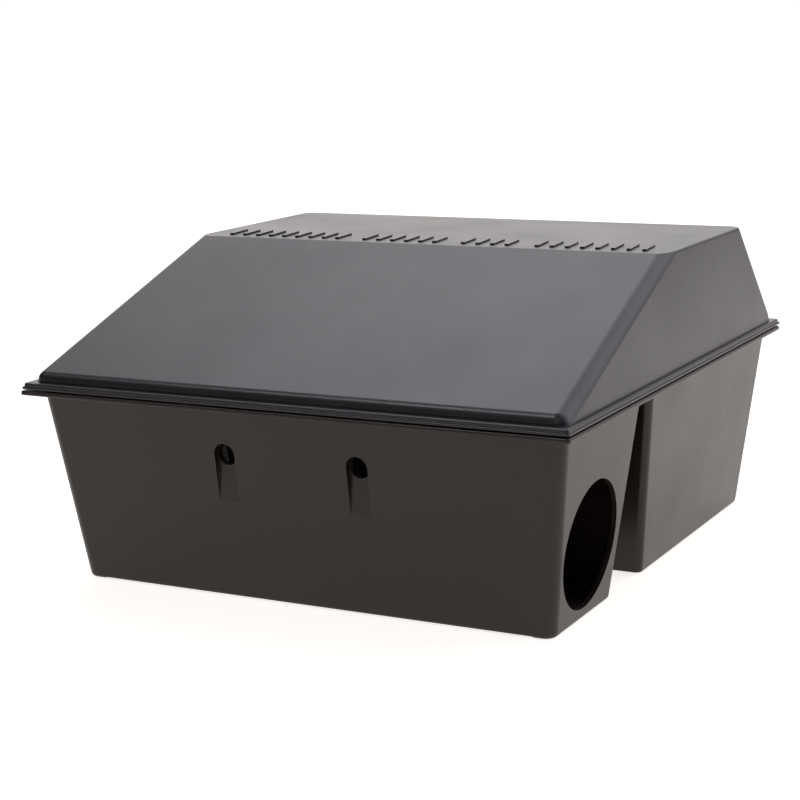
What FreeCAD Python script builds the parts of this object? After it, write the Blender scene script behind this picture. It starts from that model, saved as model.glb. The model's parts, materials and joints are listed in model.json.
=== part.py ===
import FreeCAD, Part
import Sketcher
import math
import os

# Bait station: a black moulded tub with a tunnel along its front, a hinged lid on top,
# two sprung latches behind key holes, and a lift-out tray that carries bait blocks on rods.
# Millimetres.  Origin: centre of the underside.  +Z up, -Y is the front, +X is the right side.

doc = FreeCAD.newDocument("bait_station")
sheet = doc.addObject("Spreadsheet::Sheet", "dims")

# ---------------------------------------------------------------- driving dimensions
DRIVING = {
    "wall": 2.2,                # moulded wall thickness of tub and lid
    # tub
    "tub_low_x": 114.5,         # half width at the floor
    "tub_low_y": 116.3,         # half depth at the floor
    "tub_top_x": 125.1,         # half width under the rim
    "tub_top_y": 126.9,         # half depth under the rim
    "rim_under": 86.0,          # height of the rim's underside
    "rim_thick": 2.0,
    "rim_x": 130.5,             # half width of the rim
    "rim_y": 134.5,             # how far the rim stands forward
    "rim_back_y": 132.1,        # and back, clear of the lid's hinged edge
    "rim_corner": 1.5,
    "rim_soft": 0.9,            # rounding of the upper outside edge of rim and flange
    "tub_corner": 5.5,          # outside radius of the upright corners
    "tub_foot": 2.2,            # outside radius where the walls meet the floor
    "foot_tall": 0.8,           # the corners stand this far below the floor
    "foot_side": 9.0,
    "floor_top": 3.2,
    # side folds that part the front tunnel from the rear chamber
    "fold_inner_x": 42.0,       # where each fold ends, leaving the middle passage
    "fold_front_low": -55.0,    # fold's front face at the floor
    "fold_front_top": -44.1,    # the same face under the rim
    "fold_rear_low": -20.2,
    "fold_rear_top": -33.5,
    "fold_round": 3.5,
    # entry holes at both ends of the tunnel
    "entry_r": 27.4,
    "entry_y": -86.1,
    "entry_z": 32.5,
    # key slots in the front wall
    "key_x": 32.0,
    "key_z": 65.35,
    "key_hole_r": 4.95,
    "key_slot_r": 5.0,
    "key_floor_low_y": -121.7,  # the slot's floor at its lower end
    "key_floor_top_y": -121.2,  # the slot's floor at the hole
    "key_slot_low": 45.0,
    "key_pad_y": -118.3,        # inner face of the thickening behind a slot
    "key_pad_r": 7.6,
    # catch ribs inside the front wall
    "catch_low": 78.6,
    "catch_tall": 3.0,
    "catch_y": -118.8,
    "catch_half": 11.0,
    # lid
    "lid_under": 88.6,
    "flange_top": 91.3,
    "lip_top": 89.7,
    "flange_x": 129.5,
    "flange_y": 133.2,
    "lip_x": 130.2,
    "lip_y": 134.0,
    "skirt_top": 95.0,
    "lid_low_x": 127.6,
    "lid_low_y": 129.6,
    "skirt_y": 129.2,
    "lid_top": 141.0,
    "lid_top_x": 121.4,
    "lid_top_front": -4.6,
    "lid_top_back": 99.0,
    "hip_round": 6.0,
    "skirt_round": 4.0,
    "lid_edge": 1.2,
    # raised bars on the lid
    "bar_slots": 30,            # places for a bar, some left empty
    "bar_pitch": 7.4,
    "bar_long": 16.0,
    "bar_wide": 2.0,
    "bar_tall": 0.8,
    "bar_slant": 7.0,
    "bar_y": 2.2,
    # hinge
    "hinge_y": 133.5,
    "hinge_z": 88.35,
    "hinge_x": 80.0,
    "knuckle_r": 3.1,
    "lid_knuckle": 14.0,
    "tub_knuckle": 8.0,
    "hinge_gap": 0.3,
    "hinge_pin_r": 1.5,
    "hinge_bore_r": 1.56,
    # latches, drawn locked and then pressed back by latch_throw degrees
    "latch_y": -113.1,
    "latch_z": 94.0,
    "latch_half": 7.0,
    "latch_knuckle_r": 2.8,
    "latch_pin_r": 1.25,
    "latch_bore_r": 1.31,
    "latch_face_y": -117.8,
    "latch_thick": 2.2,
    "latch_low": 57.0,
    "hook_low": 74.4,
    "hook_tall": 3.6,
    "hook_y": -121.2,
    "latch_throw": 11.0,
    "ear_gap": 0.4,
    "ear_thick": 2.2,
    "ear_low": 90.4,
    "ear_front": -118.0,
    "ear_back": -108.2,
    "spring_wide": 7.0,
    "spring_thick": 0.5,
    "spring_rib_y": -98.6,
    "spring_rib_low": 80.0,
    # tray
    "tray_low_x": 97.0,
    "tray_top_x": 100.0,
    "tray_front_low": -6.0,
    "tray_back_low": 94.0,
    "tray_flare": 2.0,
    "tray_base": 3.7,
    "tray_top": 23.0,
    "tray_wall": 1.8,
    "post_x": 91.0,
    "post_thick": 2.4,
    "post_wide": 18.0,
    "post_top": 47.0,
    "notch_r": 2.8,
    # rods and bait blocks
    "rod_r": 2.5,
    "rod_z": 40.0,
    "rod_front_y": 20.0,
    "rod_rear_y": 68.0,
    "rod_half": 96.0,
    "rod_bend_r": 6.0,
    "rod_leg": 9.0,
    "block_long": 54.0,
    "block_side": 28.0,
    "block_gap": 3.0,
    "block_bore_r": 3.2,
    "block_groove": 2.0,
    "block_round": 1.5,
    # floor fixing holes
    "fix_r": 2.6,
    "fix_x": 62.0,
    "fix_front_y": -86.0,
    "fix_rear_y": 105.0,
    "fix_boss_r": 6.5,
    "fix_boss_tall": 1.6,
}
ALIASES = {}


def put(alias, value):
    """Give the sheet one named cell that holds a plain number."""
    ALIASES[alias] = value
    cell = "A" + str(len(ALIASES))
    sheet.set(cell, repr(round(float(value), 6)))
    sheet.setAlias(cell, alias)


def val(alias):
    return float(ALIASES[alias])


for alias_name, number in DRIVING.items():
    put(alias_name, number)

# Worked-out dimensions, kept in the sheet beside the driving ones.
rim_top = val("rim_under") + val("rim_thick")
put("rim_top", rim_top)
tub_lean_x = (val("tub_top_x") - val("tub_low_x")) / val("rim_under")
tub_lean_y = (val("tub_top_y") - val("tub_low_y")) / val("rim_under")
fold_lean_front = (val("fold_front_top") - val("fold_front_low")) / val("rim_under")
fold_lean_rear = (val("fold_rear_top") - val("fold_rear_low")) / val("rim_under")
put("inside_low_x", val("tub_low_x") + tub_lean_x * val("floor_top") - val("wall"))
put("inside_low_y", val("tub_low_y") + tub_lean_y * val("floor_top") - val("wall"))
put("inside_top_x", val("tub_low_x") + tub_lean_x * rim_top - val("wall"))
put("inside_top_y", val("tub_low_y") + tub_lean_y * rim_top - val("wall"))
lid_lean_x = (val("lid_low_x") - val("lid_top_x")) / (val("lid_top") - val("lid_under"))
put("skirt_x", val("lid_top_x") + lid_lean_x * (val("lid_top") - val("skirt_top")))
roof_tall = val("lid_top") - val("skirt_top")
front_rise = roof_tall / (val("skirt_y") + val("lid_top_front"))
back_rise = roof_tall / (val("skirt_y") - val("lid_top_back"))
front_inset = val("wall") / math.sin(math.atan(front_rise))
back_inset = val("wall") / math.sin(math.atan(back_rise))
put("room_top", val("lid_top") - val("wall"))
put("room_low", val("skirt_top") - (front_inset - val("wall")) * front_rise)
put("room_low_y", val("skirt_y") - val("wall"))
put("room_top_x", val("lid_top_x") + lid_lean_x * val("wall") - val("wall"))
put("room_low_x", val("lid_top_x") + lid_lean_x * (val("lid_top") - val("room_low")) - val("wall"))
put("room_bottom_x", val("lid_low_x") - val("wall"))
put("room_bottom_y", val("lid_low_y") - val("wall"))
put("room_top_front", val("lid_top_front") - val("wall") / front_rise + front_inset)
put("room_top_back", val("lid_top_back") + val("wall") / back_rise - back_inset)
doc.recompute()

X_AXIS = FreeCAD.Vector(1, 0, 0)
Y_AXIS = FreeCAD.Vector(0, 1, 0)
Z_AXIS = FreeCAD.Vector(0, 0, 1)
LIE_ALONG_X = FreeCAD.Rotation(Y_AXIS, 90)
LIE_ALONG_Y = FreeCAD.Rotation(X_AXIS, -90)
STAND_UP = FreeCAD.Rotation(X_AXIS, 90)
MARGIN = 5.0                    # how far a cutting tool runs past the face it cuts
SIDES = (("left", -1), ("right", 1))
BAR_GAPS = (9, 16, 21)          # the bar places left empty between runs
pieces = []


# ---------------------------------------------------------------- helpers
def bind(item, bindings):
    """Tie properties to the sheet: bindings maps a property to an expression."""
    for prop, expression in bindings.items():
        item.setExpression(prop, str(expression))


def dim(text):
    """Write an expression with @name standing for the sheet's cell of that name."""
    return text.replace("@", "dims.")


def block(name, low, high):
    """A box between two corners, each a triple of expressions in x, y and z."""
    box = doc.addObject("Part::Box", name)
    bind(box, {
        "Length": dim(f"({high[0]}) - ({low[0]})"),
        "Width": dim(f"({high[1]}) - ({low[1]})"),
        "Height": dim(f"({high[2]}) - ({low[2]})"),
        "Placement.Base.x": dim(low[0]),
        "Placement.Base.y": dim(low[1]),
        "Placement.Base.z": dim(low[2]),
    })
    return box


def tapered_block(name, bottom, top, low, high):
    """A frustum from z bottom to z top; low and high are (x0, x1, y0, y1) at those heights."""
    wedge = doc.addObject("Part::Wedge", name)
    bind(wedge, {
        "Xmin": dim(low[0]), "Xmax": dim(low[1]),
        "X2min": dim(high[0]), "X2max": dim(high[1]),
        "Zmin": dim(f"-({low[3]})"), "Zmax": dim(f"-({low[2]})"),
        "Z2min": dim(f"-({high[3]})"), "Z2max": dim(f"-({high[2]})"),
        "Ymin": dim(bottom), "Ymax": dim(top),
    })
    wedge.Placement = FreeCAD.Placement(FreeCAD.Vector(0, 0, 0), STAND_UP)
    return wedge


def rod_along(name, rotation, radius, length, start):
    """A cylinder of the given expressions, starting at start and running along its rotation."""
    cylinder = doc.addObject("Part::Cylinder", name)
    cylinder.Placement = FreeCAD.Placement(FreeCAD.Vector(0, 0, 0), rotation)
    bind(cylinder, {
        "Radius": dim(radius),
        "Height": dim(length),
        "Placement.Base.x": dim(start[0]),
        "Placement.Base.y": dim(start[1]),
        "Placement.Base.z": dim(start[2]),
    })
    return cylinder


def fuse(name, shapes):
    joined = doc.addObject("Part::MultiFuse", name)
    joined.Shapes = shapes
    joined.Refine = True
    doc.recompute()
    return joined


def cut(name, base, tools):
    """Take the tools away from the base."""
    tool = tools[0] if len(tools) == 1 else fuse(name + "_tools", tools)
    taken = doc.addObject("Part::Cut", name)
    taken.Base = base
    taken.Tool = tool
    taken.Refine = True
    doc.recompute()
    return taken


def is_upright(edge):
    """True of a straight edge that climbs from bottom to top."""
    if len(edge.Vertexes) != 2:
        return False
    run = edge.Vertexes[1].Point - edge.Vertexes[0].Point
    return abs(run.z) > 0.3 * run.Length and abs(run.Length - edge.Length) < 0.01


def at_height(edge, height, slack=0.01):
    box = edge.BoundBox
    return abs(box.ZMin - height) < slack and abs(box.ZMax - height) < slack


def rounded(name, base, picks):
    """Round the base's edges: picks is a list of (test, radius), and the first that fits wins."""
    doc.recompute()
    chosen = []
    for number, edge in enumerate(base.Shape.Edges, start=1):
        for test, radius in picks:
            if test(edge):
                chosen.append((number, radius, radius))
                break
    if not chosen:
        raise RuntimeError(name + ": no edge to round")
    fillet = doc.addObject("Part::Fillet", name)
    fillet.Base = base
    fillet.Edges = chosen
    doc.recompute()
    if fillet.Shape.isNull() or not fillet.Shape.isValid():
        raise RuntimeError(name + ": rounding failed")
    return fillet


def finish(piece, label):
    """Name a finished piece, so that it is written as a node."""
    piece.Label = label
    pieces.append(piece)
    return piece


# ---------------------------------------------------------------- tub
def fold(name, side, extra, bottom, top):
    """One side fold's hollow; extra widens it into the wall that surrounds it."""
    grow = f"{extra} * @wall"
    rise_front = f"{fold_lean_front:.6f}"
    rise_rear = f"{fold_lean_rear:.6f}"
    faces = []
    for height in (bottom, top):
        front = f"@fold_front_low + {rise_front} * ({height}) - {grow}"
        rear = f"@fold_rear_low + {rise_rear} * ({height}) + {grow}"
        near = f"@fold_inner_x - {grow}"
        far = f"@rim_x + {MARGIN}"
        if side < 0:
            near, far = f"-({far})", f"-({near})"
        faces.append((near, far, front, rear))
    return tapered_block(name, bottom, top, faces[0], faces[1])


def tub_outside():
    """The tub's outer form, with the two folds taken out of its sides."""
    body = tapered_block(
        "tub_form", "0", "@rim_under",
        ("-@tub_low_x", "@tub_low_x", "-@tub_low_y", "@tub_low_y"),
        ("-@tub_top_x", "@tub_top_x", "-@tub_top_y", "@tub_top_y"),
    )
    hollows = [fold("fold_" + name, sign, 0, "0", "@rim_under") for name, sign in SIDES]
    folded = cut("tub_folded", body, hollows)
    corner_x = val("tub_low_x") - 1.0

    def is_corner(edge):
        return is_upright(edge) and abs(edge.CenterOfMass.x) > corner_x \
            and abs(edge.CenterOfMass.y) > val("tub_low_y") - 1.0

    upright = rounded("tub_uprights", folded, [
        (is_corner, val("tub_corner")),
        (is_upright, val("fold_round")),
    ])
    return rounded("tub_rounded", upright, [(lambda edge: at_height(edge, 0.0), val("tub_foot"))])


def tub_inside():
    """The space inside the tub: the outer form less the wall all round."""
    body = tapered_block(
        "tub_space", "@floor_top", "@rim_top",
        ("-@inside_low_x", "@inside_low_x", "-@inside_low_y", "@inside_low_y"),
        ("-@inside_top_x", "@inside_top_x", "-@inside_top_y", "@inside_top_y"),
    )
    walls = [fold("fold_wall_" + name, sign, 1, "@floor_top", "@rim_top") for name, sign in SIDES]
    space = cut("tub_space_folded", body, walls)

    def is_fold_end(edge):
        return is_upright(edge) and abs(edge.CenterOfMass.x) < val("fold_inner_x")

    return rounded("tub_space_rounded", space, [
        (is_fold_end, val("fold_round") + val("wall")),
        (is_upright, val("tub_corner") - val("wall")),
    ])


def under_floor():
    """What is cut from under the floor, so that the tub stands on six low feet."""
    layer = block("under_floor_layer", ("-@rim_x", "-@rim_y", f"-{MARGIN}"),
                  ("@rim_x", "@rim_y", "@foot_tall"))
    feet = []
    for name, sign in SIDES:
        outer = f"{sign} * @rim_x"
        inner = f"{sign} * (@tub_low_x - @foot_side)"
        left, right = (inner, outer) if sign > 0 else (outer, inner)
        spans = (
            ("front", "-@rim_y", "-@tub_low_y + @foot_side"),
            ("tunnel", "@fold_front_low - @foot_side", "@fold_front_low + 2"),
            ("rear", "@tub_low_y - @foot_side", "@rim_y"),
        )
        for row, low, high in spans:
            feet.append(block(f"foot_{row}_{name}", (left, low, f"-{MARGIN} - 1"),
                              (right, high, "@foot_tall + 1")))
    return cut("under_floor", layer, feet)


def tub_rim():
    """The rim plate, which also roofs the folds."""
    plate = block("rim_plate", ("-@rim_x", "-@rim_y", "@rim_under"), ("@rim_x", "@rim_back_y", "@rim_top"))
    corners = rounded("rim_corners", plate, [(is_upright, val("rim_corner"))])
    return rounded("rim_rounded", corners, [
        (lambda edge: at_height(edge, rim_top), val("rim_soft")),
        (lambda edge: not is_upright(edge), 0.5),
    ])


def key_slot(name, sign):
    """What is cut for one key slot, and the pad that keeps the wall thick behind it."""
    centre = f"{sign} * @key_x"
    in_wall_low = f"1 - @tub_low_y - {tub_lean_y:.6f} * @key_slot_low"
    in_wall_top = f"1 - @tub_low_y - {tub_lean_y:.6f} * @key_z"
    pad_left = f"{centre} - @key_pad_r"
    pad_right = f"{centre} + @key_pad_r"
    pad = fuse(f"key_pad_{name}", [
        tapered_block(f"key_pad_block_{name}", "@key_slot_low", "@key_z",
                      (pad_left, pad_right, in_wall_low, "@key_pad_y"),
                      (pad_left, pad_right, in_wall_top, "@key_pad_y")),
        rod_along(f"key_pad_round_{name}", LIE_ALONG_Y, "@key_pad_r",
                  f"@key_pad_y - ({in_wall_top})", (centre, in_wall_top, "@key_z")),
    ])
    front = f"-@rim_y - {MARGIN}"
    left = f"{centre} - @key_slot_r"
    right = f"{centre} + @key_slot_r"
    slot = [
        tapered_block(f"key_slot_ramp_{name}", "@key_slot_low", "@key_z",
                      (left, right, front, "@key_floor_low_y"),
                      (left, right, front, "@key_floor_top_y")),
        rod_along(f"key_slot_round_{name}", LIE_ALONG_Y, "@key_slot_r",
                  f"@key_floor_top_y - ({front})", (centre, front, "@key_z")),
        rod_along(f"key_hole_{name}", LIE_ALONG_Y, "@key_hole_r", f"@key_pad_y - ({front}) + 1",
                  (centre, front, "@key_z")),
    ]
    return pad, slot


def catch_rib(name, sign):
    """The rib that a latch's hook catches under."""
    centre = f"{sign} * @key_x"
    return block(f"catch_{name}",
                 (f"{centre} - @catch_half", "-@tub_top_y + 1.6", "@catch_low"),
                 (f"{centre} + @catch_half", "@catch_y", "@catch_low + @catch_tall"))


def hinge_spans(sign):
    """The x spans of one hinge: the lid's knuckle, then the tub's two."""
    half = val("lid_knuckle") / 2
    start = half + val("hinge_gap")
    end = start + val("tub_knuckle")
    centre = f"{sign} * @hinge_x"
    lid_span = (f"{centre} - @lid_knuckle / 2", f"{centre} + @lid_knuckle / 2")
    tub_spans = [
        (f"{centre} - {end}", f"{centre} - {start}"),
        (f"{centre} + {start}", f"{centre} + {end}"),
    ]
    return lid_span, tub_spans


def knuckle(name, span, wall_y, low, high):
    """A hinge barrel over one x span, with a web that ties it to the wall in front of it."""
    barrel = rod_along(f"{name}_barrel", LIE_ALONG_X, "@knuckle_r", f"({span[1]}) - ({span[0]})",
                       (span[0], "@hinge_y", "@hinge_z"))
    web = block(f"{name}_web", (span[0], wall_y, low), (span[1], "@hinge_y", high))
    return [barrel, web]


def relief(name, span, low, high):
    """The notch that clears the other half's barrel over one x span."""
    return block(name,
                 (f"({span[0]}) - @hinge_gap", "@hinge_y - @knuckle_r - @hinge_gap", low),
                 (f"({span[1]}) + @hinge_gap", f"@hinge_y + {MARGIN}", high))


def pin_bore(name, sign, radius):
    """The bore through every knuckle of one hinge."""
    return rod_along(name, LIE_ALONG_X, radius, "40", (f"{sign} * @hinge_x - 20", "@hinge_y", "@hinge_z"))


def fixing_places():
    """The four floor fixing holes, as (name, x, y)."""
    places = []
    for side, sign in SIDES:
        places.append((f"front_{side}", f"{sign} * @fix_x", "@fix_front_y"))
        places.append((f"rear_{side}", f"{sign} * @fix_x", "@fix_rear_y"))
    return places


def make_tub():
    shell = cut("tub_shell", fuse("tub_with_rim", [tub_outside(), tub_rim()]), [tub_inside()])
    added = [shell]
    removed = [under_floor()]
    for name, sign in SIDES:
        pad, slot = key_slot(name, sign)
        added += [pad, catch_rib(name, sign)]
        removed += slot
        lid_span, tub_spans = hinge_spans(sign)
        removed.append(relief(f"tub_relief_{name}", lid_span, "@rim_under - 2", "@rim_top + 1"))
        for number, span in enumerate(tub_spans, start=1):
            added += knuckle(f"tub_knuckle_{name}_{number}", span, "@tub_top_y - 1",
                             "@rim_under - 1", "@rim_top")
        removed.append(pin_bore(f"tub_pin_bore_{name}", sign, "@hinge_pin_r + 0.02"))
        removed.append(rod_along(f"entry_{name}", LIE_ALONG_X, "@entry_r", "40",
                                 (f"{sign} * 120 - 20", "@entry_y", "@entry_z")))
    for name, across, along in fixing_places():
        added.append(rod_along(f"fix_boss_{name}", FreeCAD.Rotation(), "@fix_boss_r",
                               "@fix_boss_tall + 0.5", (across, along, "@floor_top - 0.5")))
        removed.append(rod_along(f"fix_hole_{name}", FreeCAD.Rotation(), "@fix_r", "20",
                                 (across, along, f"-{MARGIN}")))
    tub = cut("tub", fuse("tub_features", added), removed)
    finish(tub, "base_tub")


# ---------------------------------------------------------------- lid
def lid_outside():
    """The lid's outer form: a short skirt, then a long front slope and a steep back slope."""
    skirt = tapered_block(
        "lid_skirt", "@lid_under", "@skirt_top",
        ("-@lid_low_x", "@lid_low_x", "-@lid_low_y", "@lid_low_y"),
        ("-@skirt_x", "@skirt_x", "-@skirt_y", "@skirt_y"),
    )
    roof = tapered_block(
        "lid_roof", "@skirt_top", "@lid_top",
        ("-@skirt_x", "@skirt_x", "-@skirt_y", "@skirt_y"),
        ("-@lid_top_x", "@lid_top_x", "@lid_top_front", "@lid_top_back"),
    )
    form = fuse("lid_form", [skirt, roof])
    return rounded("lid_rounded", form, [
        (lambda edge: at_height(edge, val("skirt_top")), val("skirt_round")),
        (lambda edge: at_height(edge, val("lid_top")), val("lid_edge")),
        (is_upright, val("hip_round")),
    ])


def lid_inside():
    """The space under the lid, less the islands that stay as latch ears."""
    low = tapered_block(
        "room_skirt", "@lid_under", "@room_low",
        ("-@room_bottom_x", "@room_bottom_x", "-@room_bottom_y", "@room_bottom_y"),
        ("-@room_low_x", "@room_low_x", "-@room_low_y", "@room_low_y"),
    )
    high = tapered_block(
        "room_roof", "@room_low", "@room_top",
        ("-@room_low_x", "@room_low_x", "-@room_low_y", "@room_low_y"),
        ("-@room_top_x", "@room_top_x", "@room_top_front", "@room_top_back"),
    )
    room = rounded("room_rounded", fuse("room", [low, high]),
                   [(is_upright, val("hip_round") - val("wall"))])
    ears = []
    for name, sign in SIDES:
        for end, step in (("in", -1), ("out", 1)):
            middle = f"{sign} * @key_x + {step} * (@latch_half + @ear_gap + @ear_thick / 2)"
            ears.append(block(f"ear_{name}_{end}",
                              (f"{middle} - @ear_thick / 2", "@ear_front", "@ear_low"),
                              (f"{middle} + @ear_thick / 2", "@ear_back", "@lid_top")))
    return cut("room_with_ears", room, ears)


def lid_flange():
    """The lid's flange: a plate with a thin lip that stands further out below."""
    parts = []
    for name, half_x, half_y, top in (("plate", "@flange_x", "@flange_y", "@flange_top"),
                                      ("lip", "@lip_x", "@lip_y", "@lip_top")):
        plate = block(f"flange_{name}", (f"-{half_x}", f"-{half_y}", "@lid_under"),
                      (half_x, half_y, top))
        corners = rounded(f"flange_{name}_corners", plate, [(is_upright, val("rim_corner"))])
        soft_top = 0.5 if name == "lip" else val("rim_soft")
        parts.append(rounded(f"flange_{name}_rounded", corners, [
            (lambda edge: at_height(edge, val(top[1:])), soft_top),
            (lambda edge: not is_upright(edge), 0.4),
        ]))
    return parts


def lid_bars():
    """A row of slanted raised bars along the front of the flat top, in four runs."""
    bars = []
    for number in range(int(val("bar_slots"))):
        if number in BAR_GAPS:
            continue
        bar = doc.addObject("Part::Box", f"bar_{number + 1}")
        slant = FreeCAD.Rotation(Z_AXIS, val("bar_slant"))
        bar.Placement = FreeCAD.Placement(FreeCAD.Vector(0, 0, 0), slant)
        bind(bar, {
            "Length": dim("@bar_wide"),
            "Width": dim("@bar_long"),
            "Height": dim("@bar_tall + 0.5"),
            "Placement.Base.x": dim(f"({number} - (@bar_slots - 1) / 2) * @bar_pitch"),
            "Placement.Base.y": dim("@bar_y"),
            "Placement.Base.z": dim("@lid_top - 0.5"),
        })
        bars.append(bar)
    return bars


def make_lid():
    form = fuse("lid_with_flange", [lid_outside()] + lid_flange() + lid_bars())
    shell = cut("lid_hollow", form, [lid_inside()])
    added = [shell]
    removed = []
    for name, sign in SIDES:
        lid_span, tub_spans = hinge_spans(sign)
        for number, span in enumerate(tub_spans, start=1):
            removed.append(relief(f"lid_relief_{name}_{number}", span, "@lid_under - 5",
                                  "@flange_top + 1"))
        added += knuckle(f"lid_knuckle_{name}", lid_span, "@lid_low_y - 1",
                         "@lid_under", "@flange_top")
        removed.append(pin_bore(f"lid_pin_bore_{name}", sign, "@hinge_bore_r"))
        centre = f"{sign} * @key_x"
        reach = "@latch_half + @ear_gap + @ear_thick + 1"
        removed.append(rod_along(f"ear_bore_{name}", LIE_ALONG_X, "@latch_pin_r + 0.02",
                                 f"2 * ({reach})", (f"{centre} - ({reach})", "@latch_y", "@latch_z")))
        added.append(block(f"spring_rib_{name}",
                           (f"{centre} - 6", "@spring_rib_y", "@spring_rib_low"),
                           (f"{centre} + 6", "@spring_rib_y + 2", "105")))
    finish(cut("lid_notched", fuse("lid_features", added), removed), "lid_shell")


# ---------------------------------------------------------------- sketched pieces
def new_body(name):
    return doc.addObject("PartDesign::Body", name)


def plane_of(body, role):
    return [feature for feature in body.Origin.OriginFeatures if feature.Role == role][0]


def new_sketch(body, name, role):
    sketch = body.newObject("Sketcher::SketchObject", name)
    sketch.AttachmentSupport = [(plane_of(body, role), "")]
    sketch.MapMode = "FlatFace"
    return sketch


def worked_out(expression):
    return float(sheet.evalExpression(expression.replace("@", "")))


def pin_point(sketch, geometry, point, name, place):
    """Hold one point at a place given by two expressions, measured from the sketch's origin."""
    for kind, expression in (("DistanceX", place[0]), ("DistanceY", place[1])):
        constraint = Sketcher.Constraint(kind, -1, 1, geometry, point, worked_out(expression))
        number = sketch.addConstraint(constraint)
        label = f"{name}_{kind[-1].lower()}"
        sketch.renameConstraint(number, label)
        sketch.setExpression(f"Constraints.{label}", dim(expression))


def draw_polygon(sketch, places):
    """A closed outline through places, each a pair of expressions bound to the sheet."""
    points = [FreeCAD.Vector(worked_out(x), worked_out(y), 0) for x, y in places]
    count = len(points)
    for number in range(count):
        sketch.addGeometry(Part.LineSegment(points[number], points[(number + 1) % count]), False)
    for number in range(count):
        sketch.addConstraint(Sketcher.Constraint("Coincident", number, 2, (number + 1) % count, 1))
    for number, place in enumerate(places):
        pin_point(sketch, number, 1, f"corner_{number + 1}", place)


def draw_circle(sketch, radius):
    """A circle about the sketch's origin."""
    centre = FreeCAD.Vector(0, 0, 0)
    number = sketch.addGeometry(Part.Circle(centre, Z_AXIS, worked_out(radius)), False)
    sketch.addConstraint(Sketcher.Constraint("Coincident", number, 3, -1, 1))
    held = sketch.addConstraint(Sketcher.Constraint("Radius", number, worked_out(radius)))
    sketch.renameConstraint(held, "radius")
    sketch.setExpression("Constraints.radius", dim(radius))


def pad_both_ways(body, name, sketch, width):
    pad = body.newObject("PartDesign::Pad", name)
    pad.Profile = sketch
    pad.Midplane = True
    pad.setExpression("Length", dim(width))
    doc.recompute()
    return pad


def pocket_both_ways(body, name, sketch, width):
    before = body.Shape.Volume
    pocket = body.newObject("PartDesign::Pocket", name)
    pocket.Profile = sketch
    pocket.Midplane = True
    pocket.setExpression("Length", dim(width))
    doc.recompute()
    if body.Shape.Volume >= before:
        raise RuntimeError(name + " cuts nothing")
    return pocket


def hang_on_latch_pin(body, sign):
    """Put a body drawn about the latch pin on its pin, turned back by the latch's throw."""
    turned = FreeCAD.Rotation(X_AXIS, val("latch_throw"))
    body.Placement = FreeCAD.Placement(FreeCAD.Vector(0, 0, 0), turned)
    bind(body, {
        "Placement.Base.x": dim(f"{sign} * @key_x"),
        "Placement.Base.y": dim("@latch_y"),
        "Placement.Base.z": dim("@latch_z"),
    })


def make_latch(name, sign):
    """A tongue that hangs from its pin behind a key hole, with a hook on its front."""
    body = new_body("latch_" + name)
    face = "(@latch_face_y - @latch_y)"
    back = f"({face} + @latch_thick)"
    hook_top = "(@hook_low + @hook_tall - @latch_z)"
    tip = "(@hook_y - @latch_y)"
    tongue = new_sketch(body, f"latch_{name}_outline", "YZ_Plane")
    draw_polygon(tongue, [
        (face, "@latch_low - @latch_z"),
        (face, "@hook_low - 1.5 - @latch_z"),
        (tip, "@hook_low + 2.0 - @latch_z"),
        (tip, hook_top),
        (face, hook_top),
        (face, "-6"),
        ("-@latch_knuckle_r + 0.1", "0.5"),
        ("0.8", "-@latch_knuckle_r + 0.3"),
        (back, "-8"),
        (back, "@latch_low - @latch_z"),
    ])
    pad_both_ways(body, f"latch_{name}_tongue", tongue, "2 * @latch_half")
    eye = new_sketch(body, f"latch_{name}_eye", "YZ_Plane")
    draw_circle(eye, "@latch_knuckle_r")
    pad_both_ways(body, f"latch_{name}_knuckle", eye, "2 * @latch_half")
    hole = new_sketch(body, f"latch_{name}_hole", "YZ_Plane")
    draw_circle(hole, "@latch_bore_r")
    pocket_both_ways(body, f"latch_{name}_bore", hole, "4 * @latch_half")
    hang_on_latch_pin(body, sign)
    finish(body, "latch_" + name)


def make_latch_spring(name, sign):
    """A hairpin of spring strip between a latch's back and the lid's rib."""
    body = new_body("latch_spring_" + name)
    back = "(@latch_face_y - @latch_y + @latch_thick)"
    strip = "@spring_thick"
    outline = new_sketch(body, f"latch_spring_{name}_outline", "YZ_Plane")
    draw_polygon(outline, [
        (back, "-9.5"),
        (back, "-24.6"),
        (f"{back} + 0.7", "-25.9"),
        (f"{back} + 2.0", "-26.3"),
        (f"{back} + 3.3", "-25.6"),
        ("11.4", "-12.6"),
        (f"11.4 - {strip}", f"-12.6 + {strip} / 2"),
        (f"{back} + 3.0", "-25.0"),
        (f"{back} + 2.0", f"-26.3 + {strip}"),
        (f"{back} + 1.1", "-25.5"),
        (f"{back} + {strip}", "-24.4"),
        (f"{back} + {strip}", "-9.5"),
    ])
    pad_both_ways(body, f"latch_spring_{name}_strip", outline, "@spring_wide")
    hang_on_latch_pin(body, sign)
    finish(body, "latch_spring_" + name)


# ---------------------------------------------------------------- pins
def make_pins():
    """Steel pins: one through each hinge, and one through each latch's ears."""
    for name, sign in SIDES:
        _, tub_spans = hinge_spans(sign)
        start = f"{tub_spans[0][0]}"
        length = f"({tub_spans[1][1]}) - ({start})"
        pin = rod_along(f"hinge_pin_{name}_round", LIE_ALONG_X, "@hinge_pin_r", length,
                        (start, "@hinge_y", "@hinge_z"))
        finish(rounded(f"hinge_pin_{name}_ends", pin, [(is_ring, 0.3)]), "hinge_pin_" + name)
        reach = "(@latch_half + @ear_gap + @ear_thick)"
        pin = rod_along(f"latch_pin_{name}_round", LIE_ALONG_X, "@latch_pin_r", f"2 * {reach}",
                        (f"{sign} * @key_x - {reach}", "@latch_y", "@latch_z"))
        finish(rounded(f"latch_pin_{name}_ends", pin, [(is_ring, 0.3)]), "latch_pin_" + name)


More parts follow.
